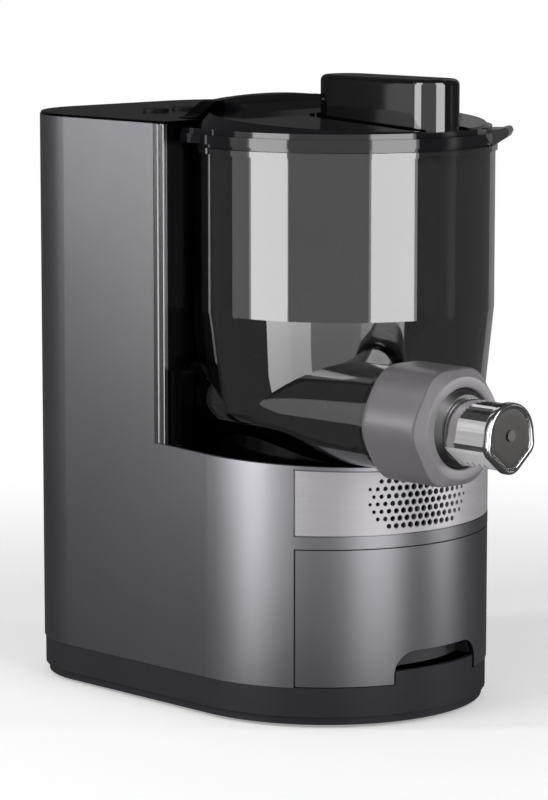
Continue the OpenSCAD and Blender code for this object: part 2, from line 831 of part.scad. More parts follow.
module motor_can() {
    color("#8a8a90") placed() difference() {
        along_front(motor_x, motor_front + motor_l, motor_z) cylinder(r = motor_r, h = motor_l);
        along_front(motor_x, motor_front + motor_l - 6, motor_z)
            cylinder(r = motor_r - 3, h = motor_l - 12);
        along_front(motor_x, motor_front + motor_l + 1, motor_z) cylinder(r = 4 + run_fit, h = motor_l + 2);
    }
}

module motor_rotor() {
    color("#b87333") placed() {
        along_front(motor_x, motor_front + motor_l - 14, motor_z)
            cylinder(r = motor_r - 8, h = motor_l - 28);
        along_front(motor_x, motor_front + motor_l + 12, motor_z)
            cylinder(r = 4, h = motor_l + 12 + plate_t + thin_gear_w + 3);
        along_front(motor_x, layer_second + thin_gear_w, motor_z)
            gear(pinion_teeth, idler_mod, thin_gear_w, motor_pinion_dir);
    }
}

module cooling_fan() {
    y0 = motor_front + motor_l + 11;
    color("#2b2b2e") placed() difference() {
        union() {
            along_front(motor_x, y0, motor_z) cylinder(r = 8, h = 9);
            for (k = [0 : 6])
                along_front(motor_x, y0, motor_z) rotate([0, 0, k * 360 / 7]) translate([6, -0.8, 0])
                    cube([fan_r - 6, 1.6, 8]);
        }
        along_front(motor_x, y0 + 1, motor_z) cylinder(r = 4 + run_fit, h = 12);
    }
}

// Half of the cup's section, from the axis out: outer face at inset 0, inner face at inset cup_wall
module cup_section(inset) {
    z0 = cup_z + inset;
    foot_c = cup_foot_r - cup_foot_round;
    rr = cup_foot_round - inset;
    polygon(concat(
        [[0, z0]],
        [for (a = [0 : 15 : 90]) [foot_c + rr * sin(a), z0 + rr * (1 - cos(a))]],
        [[cup_r - inset, cup_z + 70], [cup_r - inset, mouth_z + (inset > 0 ? 1 : 0)],
         [0, mouth_z + (inset > 0 ? 1 : 0)]]));
}

module behind(y) translate([-body_w, y, 0]) cube([2 * body_w, 2 * body_w, 2 * column_top]);

module mixing_cup() {
    color([0.25, 0.25, 0.28, 0.5]) placed() difference() {
        union() {
            difference() {
                union() {
                    translate([0, cup_y, 0]) rotate_extrude() cup_section(0);
                    translate([0, cup_y, mouth_z - collar_h]) cylinder(r = collar_r, h = collar_h);
                }
                behind(cup_back);
            }
            along_front(screw_x, cup_back, screw_z) cylinder(r = barrel_r, h = cup_back + barrel_reach);
            // Collar that the lock nut presses on
            along_front(screw_x, nut_y + 4, screw_z) cylinder(r = barrel_r + 2, h = 3);
        }
        difference() {
            translate([0, cup_y, 0]) rotate_extrude() cup_section(cup_wall);
            behind(cup_back - cup_wall);
        }
        along_front(screw_x, cup_back - cup_wall, screw_z)
            cylinder(r = bore_r, h = barrel_reach + cup_back);
        for (p = [[screw_x, screw_z], [stir_x, stir_z]])
            along_front(p[0], cup_back + 1, p[1]) cylinder(r = shaft_r + 3, h = cup_wall + 2);
    }
}

module cup_seals() {
    color("#e8e4dc") placed() for (p = [[screw_x, screw_z], [stir_x, stir_z]])
        along_front(p[0], cup_back, p[1]) difference() {
            cylinder(r = shaft_r + 3, h = cup_wall);
            translate([0, 0, -1]) cylinder(r = shaft_r + run_fit, h = cup_wall + 2);
        }
}

screw_front = -(barrel_reach - 5);
thread_r = bore_r - screw_gap;
socket_l = 11.5;
// The thread starts clear of the socket
thread_back = cup_back - socket_l - 1;

// Hollow in a shaft's tail for the hexagonal driver
module hex_socket(x, z) {
    along_front(x, cup_back + 1, z) cylinder(r = hex_r + hex_fit, h = socket_l + 1, $fn = 6);
}

module feed_screw() {
    thread_l = thread_back - screw_front - 0.5;
    color("#d9d6cf") placed() {
        difference() {
            along_front(screw_x, cup_back - 0.1, screw_z) cylinder(r = shaft_r, h = cup_wall + 3);
            hex_socket(screw_x, screw_z);
        }
        difference() {
            along_front(screw_x, cup_back - cup_wall - 1, screw_z)
                cylinder(r = screw_core_r, h = cup_back - cup_wall - 1 - screw_front);
            hex_socket(screw_x, screw_z);
        }
        along_front(screw_x, thread_back, screw_z)
            linear_extrude(thread_l, twist = 360 * thread_l / screw_pitch, slices = round(thread_l),
                    $fn = 12)
                polygon([[0, -3], [thread_r - 0.6, -2.4], [thread_r, 0], [thread_r - 0.6, 2.4], [0, 3]]);
    }
}

stir_front = -52;

module stirrer() {
    color("#d9d6cf") placed() {
        difference() {
            along_front(stir_x, cup_back - 0.1, stir_z) cylinder(r = shaft_r, h = socket_l + 2.5);
            hex_socket(stir_x, stir_z);
        }
        along_front(stir_x, thread_back, stir_z)
            cylinder(r = stir_shaft_r, h = thread_back - stir_front);
        along_front(stir_x, stir_front + 1, stir_z) cylinder(r = stir_shaft_r + 2, h = 8);
        for (k = [0 : 3]) {
            y = cup_back - 20 - k * 19;
            translate([stir_x, y, stir_z]) rotate([0, k * 90 + 30, 0]) {
                translate([0, 0, stir_shaft_r - 3]) cylinder(r = 4, h = stir_r - stir_shaft_r - 5);
                translate([-5, -9, stir_r - 12]) cube([10, 18, 10]);
            }
        }
    }
}

// The space above a plane that falls towards the front and ends just above the low step there
module above_dome(inset = 0) {
    translate([0, cup_y - dome_r, step_z + dome_low - inset]) rotate([dome_tilt, 0, 0])
        translate([-body_w, -body_w, 0]) cube([2 * body_w, 4 * body_w, body_w]);
}

// The lid's raised middle: a flat cone cut by the falling plane, drawn in by inset
module dome(inset) {
    foot = 5;
    rise = 20;
    r = dome_r - inset;
    difference() {
        translate([0, cup_y, step_z - inset]) {
            translate([0, 0, -foot]) cylinder(r = r, h = foot);
            cylinder(r1 = r, r2 = r - rise / tan(dome_slope), h = rise);
        }
        above_dome(inset);
    }
}

module below(z) {
    translate([-body_w, -body_w, z - 2 * column_top]) cube([2 * body_w, 3 * body_w, 2 * column_top]);
}

lid_back = bay_back - 2.5;
skirt_r = cup_r - cup_wall - 2;
skirt_drop = 7;
neck_r = lid_r - 1.5;
// Towards the column the rim and the step run straight back at this half width
back_half = lid_r - 5;
tab_w = 24;

// Section of the thumb tab, which curls up beyond the rim; the lid's axis is at zero
module tab_shape() {
    polygon([[6 - lid_r, rim_z], [-lid_r, rim_z], [-lid_r - 7, rim_z + 4.5], [-lid_r - 8.5, rim_z + 7.5],
             [-lid_r - 7.5, rim_z + 9.8], [-lid_r - 5.5, rim_z + 10.2], [-lid_r - 2, rim_z + 9.2],
             [6 - lid_r, rim_z + 9.2]]);
}

// Section of the hinge arm: a raised step over the lid's rear edge, then the round hinge barrel
module arm_shape() {
    arm_top = hinge_z + 1.5;
    arm_z = hinge_z - hinge_r;
    arm_front = lid_back - 6;
    polygon([[arm_front - 5, arm_z + 0.8], [arm_front - 5, arm_top - 5], [arm_front, arm_top],
             [hinge_y, arm_top], [hinge_y, arm_z], [lid_back - lid_wall, arm_z]]);
    translate([hinge_y, hinge_z]) circle(r = hinge_r);
}

dish_gap = 7;

// Long outline with round ends around the handle's middle line
module handle_outline(r) {
    translate([-r, handle_y - handle_l]) square([2 * r, handle_l]);
    for (y = [0, -handle_l]) translate([0, handle_y + y]) circle(r = r);
}

// Shallow dish around the handle, made larger all round by grow
module dish(grow) {
    translate([0, 0, step_z - grow]) linear_extrude(20) handle_outline(handle_r + dish_gap + grow);
}

module lid() {
    back_l = lid_back - cup_y + 1;
    under_z = step_z - lid_wall;
    color([0.1, 0.1, 0.11, 0.7]) placed() difference() {
        union() {
            difference() {
                union() {
                    translate([0, cup_y, rim_z]) cylinder(r = neck_r, h = neck_h + 1);
                    translate([0, cup_y, rim_z + neck_h]) cylinder(r = lid_r, h = rim_h);
                    translate([0, cup_y, rim_z + neck_h]) cylinder(r = step_r, h = rim_h + step_h);
                    translate([-back_half, cup_y, rim_z + neck_h]) cube([2 * back_half, back_l, rim_h]);
                    translate([1 - back_half, cup_y, rim_z + neck_h])
                        cube([2 * back_half - 2, back_l, rim_h + step_h]);
                    dome(0);
                    translate([0, cup_y, 0]) rotate([0, 0, tab_angle]) translate([-tab_w / 2, 0, 0])
                        rotate([90, 0, 90]) linear_extrude(tab_w) tab_shape();
                }
                behind(lid_back);
                below(rim_z);
                difference() {
                    translate([0, cup_y, rim_z - 1])
                        cylinder(r = skirt_r - 1, h = under_z - rim_z + 1);
                    behind(lid_back - lid_wall);
                }
                difference() {
                    dome(lid_wall);
                    behind(lid_back - lid_wall);
                    dish(lid_wall);
                }
            }
            // Skirt that reaches into the cup's mouth
            difference() {
                translate([0, cup_y, mouth_z - skirt_drop])
                    cylinder(r = skirt_r, h = under_z + 0.5 - mouth_z + skirt_drop);
                translate([0, cup_y, mouth_z - skirt_drop - 1]) cylinder(r = skirt_r - 2, h = 40);
                behind(cup_back - cup_wall - 4);
            }
            // Hinge arm over the column's front edge
            intersection() {
                translate([-hinge_half, 0, 0]) rotate([90, 0, 90])
                    linear_extrude(2 * hinge_half) arm_shape();
                arch_r = (pow(hinge_half, 2) + pow(hood_fall, 2)) / (2 * hood_fall);
                along_front(0, hinge_y + 2 * hinge_r, hood_z - arch_r)
                    cylinder(r = arch_r, h = 60, $fn = 288);
            }
        }
        dish(0);
        translate([-hinge_half - 1, hinge_y, hinge_z]) rotate([0, 90, 0])
            cylinder(r = hinge_pin_r + run_fit, h = 2 * hinge_half + 2);
    }
}

module lid_seal() {
    color("#e8e4dc") placed() difference() {
        translate([0, cup_y, mouth_z - 3.2]) cylinder(r = skirt_r + 0.8, h = 2.4);
        translate([0, cup_y, mouth_z - 4]) cylinder(r = skirt_r, h = 4);
        behind(cup_back - cup_wall - 4);
    }
}

handle_round = 3.5;
handle_wall = 2.4;

// Half of the handle's section, drawn in by inset and with its top at height h
module handle_half(h, inset) {
    r = handle_r - inset;
    rr = handle_round - inset * 0.9;
    polygon(concat(
        [[0, 0], [r, 0]],
        [for (a = [0 : 15 : 90]) [r - rr + rr * cos(a), h - rr + rr * sin(a)]],
        [[0, h]]));
}

// Long body with round ends and rounded top edges
module handle_body(h, inset) {
    for (y = [0, -handle_l]) translate([0, y, 0]) rotate_extrude() handle_half(h, inset);
    rotate([90, 0, 0]) linear_extrude(handle_l) {
        handle_half(h, inset);
        mirror([1, 0]) handle_half(h, inset);
    }
}

module lid_handle() {
    h = dome_z + handle_h - step_z;
    color([0.1, 0.1, 0.11, 0.8]) placed() translate([0, handle_y, step_z]) difference() {
        handle_body(h, 0);
        translate([0, 0, -1]) handle_body(h + 1 - handle_wall, handle_wall);
    }
}

bracket_in = hinge_half + 0.5;
bracket_out = hinge_half + 26;
bracket_flat = 3;
bracket_d = 12;

// Outline of one fairing seen from the front: flat over the hinge pin, then sloping down to the side
module bracket_shape() {
    rise = hood_z - hood_fall - panel_z;
    run = bracket_out - bracket_in - bracket_flat;
    polygon(concat(
        [[bracket_in, 0], [bracket_in, rise]],
        [for (t = [0 : 0.1 : 1])
            [bracket_in + bracket_flat + run * t, rise * (1 + cos(180 * t)) / 2 + 0.4 * t]],
        [[bracket_out, 0]]));
}

module hinge_brackets() {
    color("#161618") placed() for (side = [0, 1]) mirror([side, 0, 0]) difference() {
        along_front(0, hinge_y + bracket_d / 2, panel_z) linear_extrude(bracket_d) bracket_shape();
        translate([bracket_in - 1, hinge_y, hinge_z]) rotate([0, 90, 0])
            cylinder(r = hinge_pin_r + run_fit, h = 8);
    }
}

module hinge_pin() {
    color("silver") placed() translate([-hinge_half - 6.5, hinge_y, hinge_z]) rotate([0, 90, 0])
        cylinder(r = hinge_pin_r, h = 2 * hinge_half + 13);
}

// Outline of the lock nut: round lobes with shallow hollows between them
module nut_shape() {
    polygon([for (a = [0 : 5 : 355]) (nut_r - nut_dip / 2 * (1 - cos(nut_lobes * a))) * [cos(a), sin(a)]]);
}

flange_t = 4;

module lock_nut() {
    color("#8d8a90") placed() difference() {
        intersection() {
            along_front(screw_x, nut_y, screw_z) linear_extrude(nut_l) nut_shape();
            along_front(screw_x, nut_y, screw_z) cylinder(r1 = nut_r + 12, r2 = nut_r - 5, h = nut_l);
        }
        // Bore over the barrel's end, then the smaller mouth round the die
        along_front(screw_x, nut_y + 1, screw_z)
            cylinder(r = barrel_r + 0.08, h = barrel_reach + nut_y + flange_t + 1.5);
        along_front(screw_x, nut_y + 1, screw_z) cylinder(r = nut_mouth_r, h = nut_l + 2);
    }
}

// Section of the die: a round top that widens a little and closes in a rounded point below
module die_shape(inset) {
    low_r = 9;
    side_r = 8;
    side_x = die_r - side_r + 0.6;
    side_z = -5;
    hull() {
        circle(r = die_r - inset, $fn = 48);
        for (side = [-1, 1]) translate([side * side_x, side_z]) circle(r = side_r - inset, $fn = 32);
        translate([0, low_r - die_drop]) circle(r = low_r - inset, $fn = 32);
    }
}

die_back = -(barrel_reach + 0.2);

module die_tube(r_in) {
    difference() {
        along_front(screw_x, die_back - flange_t + eps, screw_z)
            linear_extrude(die_end - cap_t + die_back - flange_t) die_shape(0);
        die_bore(r_in);
    }
}

// Bore of the die, stopped short of its front end
module die_bore(r_in) {
    along_front(screw_x, die_back + 1, screw_z)
        cylinder(r = r_in, h = die_end - cap_t - die_web + die_back + 1);
}

outlet_drop = 8;
die_in_r = 14;
die_web = 7;
die_screw_r = 2;

collar_slope = 3;

module die_body() {
    mouth_r = nut_mouth_r - mouth_gap;
    mouth_l = nut_l - nut_y + die_back - flange_t - 1.5;
    color("gainsboro") placed() difference() {
        union() {
            along_front(screw_x, die_back, screw_z) cylinder(r = barrel_r - 1.5, h = flange_t);
            die_tube(die_in_r);
            // Collar that fills the nut's mouth, with a sloping front
            along_front(screw_x, die_back - flange_t + eps, screw_z) cylinder(r = mouth_r, h = mouth_l);
            along_front(screw_x, die_back - flange_t - mouth_l + 2 * eps, screw_z)
                cylinder(r1 = mouth_r, r2 = mouth_r - collar_slope, h = collar_slope);
        }
        die_bore(die_in_r);
        along_front(screw_x, 0, screw_z) cylinder(r = die_screw_r + run_fit, h = die_end);
        // Open below in front of the nut, where the insert closes it
        translate([screw_x - 30, -die_end, screw_z - 60])
            cube([60, die_show + cap_t - 2, 60 - outlet_drop]);
    }
}

module die_insert() {
    color("#e9e7ea") placed() difference() {
        intersection() {
            translate([screw_x - 30, -die_end + cap_t, screw_z - 60])
                cube([60, die_show - 2, 60 - outlet_drop]);
            along_front(screw_x, 0, screw_z) linear_extrude(die_end - cap_t) die_shape(0.4);
        }
        die_bore(die_in_r);
        // Slots that the strips of dough leave by
        for (k = [0 : 4])
            translate([screw_x - 7, -die_end + cap_t + die_web + 1.5 + k * 4.4, screw_z - 60])
                cube([14, 1.8, 60]);
    }
}

module die_cap() {
    color("silver") placed() difference() {
        along_front(screw_x, -die_end + cap_t, screw_z) linear_extrude(cap_t) die_shape(-1);
        along_front(screw_x, -die_end + 1.2, screw_z) linear_extrude(cap_t) die_shape(2);
        along_front(screw_x, 0, screw_z) cylinder(r = die_screw_r + run_fit, h = die_end + 1);
    }
}

module die_screw() {
    color("silver") placed() {
        along_front(screw_x, -die_end + cap_t + die_web, screw_z)
            cylinder(r = die_screw_r, h = cap_t + die_web - 1);
        along_front(screw_x, -die_end + 1.2, screw_z) cylinder(r = 3.2, h = 1);
    }
}

housing_shell();
edge_trims();
base_tray();
rubber_feet();
base_screws();
column_face();
cup_deck();
top_panel();
display_window();
button_start();
button_mode();
button_plus();
button_minus();
control_board();
power_board();
cord_gland();
vent_plate();
drawer_front();
drawer_tray();
drawer_rails();
blower_case();
blower_wheel();
motor_can();
motor_rotor();
cooling_fan();
gear_plate();
plate_pillars();
idler_first();
idler_second();
idler_pins();
screw_gear();
stirrer_gear();
shaft_bearings();
mixing_cup();
cup_seals();
feed_screw();
stirrer();
lid();
lid_handle();
lid_seal();
hinge_brackets();
hinge_pin();
lock_nut();
die_body();
die_insert();
die_cap();
die_screw();
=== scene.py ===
"""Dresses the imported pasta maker: materials, finer pieces, a plain studio and the camera."""

import json
import math

import bmesh
import bpy
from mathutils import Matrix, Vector


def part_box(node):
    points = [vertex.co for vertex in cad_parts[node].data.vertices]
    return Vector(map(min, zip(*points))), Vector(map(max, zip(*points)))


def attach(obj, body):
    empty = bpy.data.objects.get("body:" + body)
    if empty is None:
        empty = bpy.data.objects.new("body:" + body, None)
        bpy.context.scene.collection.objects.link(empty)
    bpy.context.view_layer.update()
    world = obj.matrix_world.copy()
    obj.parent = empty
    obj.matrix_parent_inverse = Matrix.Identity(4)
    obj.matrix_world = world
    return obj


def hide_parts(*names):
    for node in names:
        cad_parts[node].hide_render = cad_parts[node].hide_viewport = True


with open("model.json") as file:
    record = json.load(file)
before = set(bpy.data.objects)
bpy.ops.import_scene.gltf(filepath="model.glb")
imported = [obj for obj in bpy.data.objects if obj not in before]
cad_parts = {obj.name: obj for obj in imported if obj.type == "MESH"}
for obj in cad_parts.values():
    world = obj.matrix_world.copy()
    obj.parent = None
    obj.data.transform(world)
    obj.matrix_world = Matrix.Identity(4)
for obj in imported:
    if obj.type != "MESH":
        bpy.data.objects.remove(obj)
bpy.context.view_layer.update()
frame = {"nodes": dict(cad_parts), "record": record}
nodes = frame["nodes"]

MM = 0.001
# Shift in millimetres from the source's own origin, the centre of the round front, to the row frame
MID_Y = 8.25
WHITE = (1.0, 1.0, 1.0, 1.0)


# ---------------------------------------------------------------- materials

# Nearly all values of a noise texture lie between these two
NOISE_LOW = 0.3
NOISE_HIGH = 0.7
# Scales of the slow changes over a surface: the tone of plastic and of metal, the waves in clear
# plastic and its dull patches
MOTTLE_SCALE = 14.0
METAL_CLOUD_SCALE = 9.0
WAVE_SCALE = 22.0
HAZE_SCALE = 60.0
# Share of the slow changes in a brushed metal's tone; the rest comes from its brush lines
METAL_CLOUD_SHARE = 0.35
# Half the width of the change between two zones of a finish
ZONE_BLUR = 0.2 * MM


def new_material(name):
    """A new node material, with its tree and its shader."""
    material = bpy.data.materials.new(name)
    material.use_nodes = True
    tree = material.node_tree
    shader = tree.nodes["Principled BSDF"]
    return material, tree, shader


def coordinates(tree, scale=(1.0, 1.0, 1.0)):
    """Object coordinates through a mapping, so that grain can be stretched along an axis."""
    source = tree.nodes.new("ShaderNodeTexCoord")
    mapping = tree.nodes.new("ShaderNodeMapping")
    mapping.inputs["Scale"].default_value = scale
    tree.links.new(source.outputs["Object"], mapping.inputs["Vector"])
    return mapping.outputs["Vector"]


def noise(tree, vector, scale, detail, roughness=0.55):
    texture = tree.nodes.new("ShaderNodeTexNoise")
    texture.inputs["Scale"].default_value = scale
    texture.inputs["Detail"].default_value = detail
    texture.inputs["Roughness"].default_value = roughness
    tree.links.new(vector, texture.inputs["Vector"])
    return texture.outputs["Fac"]


def colours(tree, factor, dark, light, low=0.35, high=0.65):
    """Two tones, mixed by a factor that runs from the low place to the high one."""
    ramp = tree.nodes.new("ShaderNodeValToRGB")
    ramp.color_ramp.elements[0].position = low
    ramp.color_ramp.elements[0].color = (*dark, 1.0)
    ramp.color_ramp.elements[1].position = high
    ramp.color_ramp.elements[1].color = (*light, 1.0)
    tree.links.new(factor, ramp.inputs["Fac"])
    return ramp.outputs["Color"]


def mottled(tree, factor, tone, shift):
    """A tone that a texture takes down and up by the same share."""
    dark = tuple(c * (1 - shift) for c in tone)
    light = tuple(min(1.0, c * (1 + shift)) for c in tone)
    return colours(tree, factor, dark, light)


def ranged(tree, value, from_range, to_range, interpolation="LINEAR"):
    """A value carried from one range to another, and held at the ends."""
    ranger = tree.nodes.new("ShaderNodeMapRange")
    ranger.interpolation_type = interpolation
    ranger.inputs["From Min"].default_value = from_range[0]
    ranger.inputs["From Max"].default_value = from_range[1]
    ranger.inputs["To Min"].default_value = to_range[0]
    ranger.inputs["To Max"].default_value = to_range[1]
    tree.links.new(value, ranger.inputs["Value"])
    return ranger.outputs["Result"]


def spread(tree, factor, low, high):
    """A texture's value spread between two numbers."""
    return ranged(tree, factor, (NOISE_LOW, NOISE_HIGH), (low, high))


def bump(tree, shader, height, strength, distance):
    node = tree.nodes.new("ShaderNodeBump")
    node.inputs["Strength"].default_value = strength
    node.inputs["Distance"].default_value = distance
    tree.links.new(height, node.inputs["Height"])
    tree.links.new(node.outputs["Normal"], shader.inputs["Normal"])


def moulded(name, tone, rough, spread_rough=0.04, metallic=0.0, level=0.5, grain=900.0,
            depth=0.02 * MM, shift=0.06, ior=1.5):
    """Moulded plastic, paint or rubber: faint mottling, fine grain and uneven gloss."""
    material, tree, shader = new_material(name)
    place = coordinates(tree)
    cloud = noise(tree, place, MOTTLE_SCALE, detail=3.0)
    fine = noise(tree, place, grain, detail=3.0, roughness=0.6)
    gloss = spread(tree, fine, rough - spread_rough, rough + spread_rough)
    tree.links.new(mottled(tree, cloud, tone, shift), shader.inputs["Base Color"])
    tree.links.new(gloss, shader.inputs["Roughness"])
    bump(tree, shader, fine, strength=0.35, distance=depth)
    shader.inputs["Metallic"].default_value = metallic
    shader.inputs["Specular IOR Level"].default_value = level
    shader.inputs["IOR"].default_value = ior
    return material


def brushed(name, tone, rough, stretch, metallic=1.0, depth=0.01 * MM, shift=0.08):
    """Metal with a fine brushed grain, long along the axis where stretch is small."""
    material, tree, shader = new_material(name)
    lines = noise(tree, coordinates(tree, stretch), 1.0, detail=6.0, roughness=0.7)
    cloud = noise(tree, coordinates(tree), METAL_CLOUD_SCALE, detail=2.0)
    mix = tree.nodes.new("ShaderNodeMix")
    mix.data_type = "FLOAT"
    mix.inputs["Factor"].default_value = METAL_CLOUD_SHARE
    tree.links.new(lines, mix.inputs[2])
    tree.links.new(cloud, mix.inputs[3])
    tree.links.new(mottled(tree, mix.outputs[0], tone, shift), shader.inputs["Base Color"])
    tree.links.new(spread(tree, lines, rough - 0.05, rough + 0.07), shader.inputs["Roughness"])
    bump(tree, shader, lines, strength=0.3, distance=depth)
    shader.inputs["Metallic"].default_value = metallic
    return material


def clear(name, tone, level, coat_ior, rough=0.02):
    """Smoky see-through plastic with faint moulding waves, a few dull patches and a glossy skin."""
    material, tree, shader = new_material(name)
    place = coordinates(tree)
    waves = noise(tree, place, WAVE_SCALE, detail=2.0)
    haze = noise(tree, place, HAZE_SCALE, detail=3.0)
    dark = tuple(c * 0.94 for c in tone)
    tree.links.new(colours(tree, waves, dark, tone), shader.inputs["Base Color"])
    tree.links.new(spread(tree, haze, rough * 0.5, rough * 1.6), shader.inputs["Roughness"])
    bump(tree, shader, waves, strength=0.04, distance=0.2 * MM)
    shader.inputs["Transmission Weight"].default_value = 1.0
    shader.inputs["IOR"].default_value = 1.5
    shader.inputs["Specular IOR Level"].default_value = level
    shader.inputs["Coat Weight"].default_value = 1.0
    shader.inputs["Coat IOR"].default_value = coat_ior
    shader.inputs["Coat Roughness"].default_value = rough
    return material


def two_zones(material, edge, behind, ahead, rough=None):
    """Splits a finish at a place along Y: its tone is multiplied by one share behind the edge and
    by another ahead of it. A pair of roughnesses, behind and ahead, takes the place of its own."""
    tree = material.node_tree
    shader = tree.nodes["Principled BSDF"]
    parts = tree.nodes.new("ShaderNodeSeparateXYZ")
    tree.links.new(coordinates(tree), parts.inputs[0])
    share = ranged(tree, parts.outputs["Y"], (edge - ZONE_BLUR, edge + ZONE_BLUR), (0.0, 1.0))
    colour = tree.nodes.new("ShaderNodeMix")
    colour.data_type = "RGBA"
    colour.blend_type = "MULTIPLY"
    colour.inputs["Factor"].default_value = 1.0
    tree.links.new(shader.inputs["Base Color"].links[0].from_socket, colour.inputs[6])
    tree.links.new(colours(tree, share, (ahead,) * 3, (behind,) * 3, 0.0, 1.0), colour.inputs[7])
    tree.links.new(colour.outputs[2], shader.inputs["Base Color"])
    if rough:
        rough_behind, rough_ahead = rough
        gloss = ranged(tree, share, (0.0, 1.0), (rough_ahead, rough_behind))
        tree.links.new(gloss, shader.inputs["Roughness"])
    return material


nut_low, nut_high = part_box("lock_nut")
# Length of the nut's front ring, kept at full tone while the body behind it is painted darker as
# painted shade, and how far the die's dull collar, painted dark as painted shade, stands out in
# front of it
NUT_RING = 5.2 * MM
COLLAR_OUT = 2.1 * MM

materials = {
    "housing": moulded("housing_paint", (0.366, 0.358, 0.388), 0.33, 0.03, metallic=1.0,
                       grain=1600.0, depth=0.004 * MM, shift=0.03),
    "trim": moulded("edge_strip_metal", (0.4, 0.4, 0.41), 0.2, 0.03, metallic=1.0,
                    depth=0.003 * MM, shift=0.03),
    "base": moulded("base_plastic", (0.026, 0.0245, 0.03), 0.34, grain=1400.0, level=0.4),
    "feet": moulded("feet_rubber", (0.02, 0.02, 0.021), 0.7, grain=700.0, level=0.3),
    "steel_parts": brushed("small_steel", (0.56, 0.56, 0.57), 0.3, (600.0, 600.0, 60.0)),
    "black_parts": moulded("black_gloss", (0.0007, 0.0007, 0.0009), 0.14, 0.03, level=0.08,
                           grain=300.0, depth=0.004 * MM),
    "window": moulded("display_glass", (0.01, 0.03, 0.035), 0.06, 0.02, grain=200.0,
                      depth=0.002 * MM),
    "buttons": moulded("button_plastic", (0.012, 0.012, 0.013), 0.4, grain=1200.0, level=0.2),
    "boards": moulded("board_resin", (0.03, 0.14, 0.06), 0.5, grain=300.0, shift=0.2),
    "gland": moulded("gland_rubber", (0.02, 0.02, 0.021), 0.65, grain=700.0),
    "vent": brushed("vent_metal", (0.57, 0.555, 0.585), 0.4, (30.0, 30.0, 1600.0), metallic=0.6),
    "tray": moulded("tray_plastic", (0.05, 0.05, 0.054), 0.45, grain=1000.0),
    "inner_plastic": moulded("inner_plastic", (0.025, 0.025, 0.028), 0.5, grain=800.0),
    "motor_steel": brushed("motor_steel", (0.42, 0.42, 0.44), 0.35, (400.0, 400.0, 40.0)),
    "rotor": brushed("rotor_copper", (0.55, 0.3, 0.15), 0.38, (500.0, 60.0, 500.0)),
    "gears": moulded("gear_nylon", (0.62, 0.6, 0.5), 0.45),
    "cup": clear("cup_plastic", (0.1, 0.098, 0.104), level=0.7, coat_ior=2.1),
    "seals": moulded("seal_silicone", (0.5, 0.49, 0.47), 0.5),
    "mixer_parts": moulded("mixer_plastic", (0.46, 0.45, 0.43), 0.38),
    "lid": moulded("lid_plastic", (0.006, 0.006, 0.0075), 0.06, 0.015, grain=250.0,
                   depth=0.002 * MM, ior=1.9),
    "handle": moulded("handle_plastic", (0.002, 0.002, 0.0028), 0.04, 0.012, grain=200.0,
                      depth=0.002 * MM, ior=2.15),
    # The nut's body behind its front ring is painted darker, as painted shade, so that the ring reads
    # lighter
    "nut": two_zones(moulded("nut_plastic", (0.235, 0.223, 0.235), 0.34, 0.05, grain=1300.0),
                     nut_low[1] + NUT_RING, behind=0.58, ahead=1.0),
    # The die is polished at the front, and its collar in the nut's mouth is dull, with its tone
    # painted darker as painted shade cast by the nut
    "die_metal": two_zones(brushed("die_chrome", (0.95, 0.94, 0.94), 0.08, (900.0, 60.0, 900.0),
                                   depth=0.002 * MM),
                           nut_low[1] - COLLAR_OUT, behind=0.2, ahead=1.0, rough=(0.36, 0.06)),
    "insert": moulded("insert_plastic", (0.6, 0.59, 0.6), 0.3, grain=1000.0),
}

# Each carried-over CAD node takes the finish of its own material slot
slot_of = {s["node"]: s["material_slot"] for s in frame["record"]["subparts"]}
for name, node in nodes.items():
    node.data.materials.clear()
    node.data.materials.append(materials[slot_of[name]])
# The screw is darker than the other steel parts
screw_steel = moulded("die_screw_steel", (0.1, 0.1, 0.096), 0.3, metallic=0.6)
nodes["die_screw"].data.materials[0] = screw_steel

# Width in metres of the rounding on the hard edges of some CAD nodes
ROUNDINGS = {
    "edge_trims": 0.6 * MM,
    "column_face": 0.4 * MM,
    "top_panel": 0.5 * MM,
    "hinge_brackets": 1.5 * MM,
}


def soften(node, width):
    """Rounds a CAD node's hard edges with modifiers, which leave its mesh alone."""
    weld = node.modifiers.new("weld", "WELD")
    weld.merge_threshold = 0.01 * MM
    bevel = node.modifiers.new("bevel", "BEVEL")
    bevel.width = width
    bevel.segments = 2
    bevel.limit_method = "ANGLE"
    bevel.angle_limit = math.radians(35.0)
    bevel.harden_normals = True


for name, width in ROUNDINGS.items():
    soften(nodes[name], width)


# ---------------------------------------------------------------- finer pieces


def loft(name, rings, material, body, stands_for=None, close_last=False):
    """A smooth skin through closed rings of points, which moves with its body and takes the given
    material. It can stand for a CAD node, and its last ring can be closed."""
    mesh = bpy.data.meshes.new(name)
    work = bmesh.new()
    rows = [[work.verts.new(point) for point in ring] for ring in rings]
    count = len(rows[0])
    for low, high in zip(rows, rows[1:]):
        for i in range(count):
            j = (i + 1) % count
            work.faces.new((low[i], low[j], high[j], high[i]))
    if close_last:
        work.faces.new(rows[-1])
    bmesh.ops.recalc_face_normals(work, faces=work.faces)
    work.to_mesh(mesh)
    work.free()
    mesh.shade_smooth()
    mesh.set_sharp_from_angle(angle=math.radians(40.0))
    mesh.materials.append(material)
    thing = bpy.data.objects.new(name, mesh)
    bpy.context.scene.collection.objects.link(thing)
    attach(thing, body)
    if stands_for:
        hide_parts(stands_for)


def full_turn(count):
    """Angles evenly round a full turn."""
    return [2 * math.pi * i / count for i in range(count)]


# The lock nut: soft lobes that fade into a flat front ring, and the bore behind it
NUT_POINTS = 180
NUT_LOBES = 6
NUT_DIP = 2.2 * MM
nut_x = (nut_low[0] + nut_high[0]) / 2
nut_z = (nut_low[2] + nut_high[2]) / 2
nut_r = (nut_high[0] - nut_low[0]) / 2
nut_l = nut_high[1] - nut_low[1]
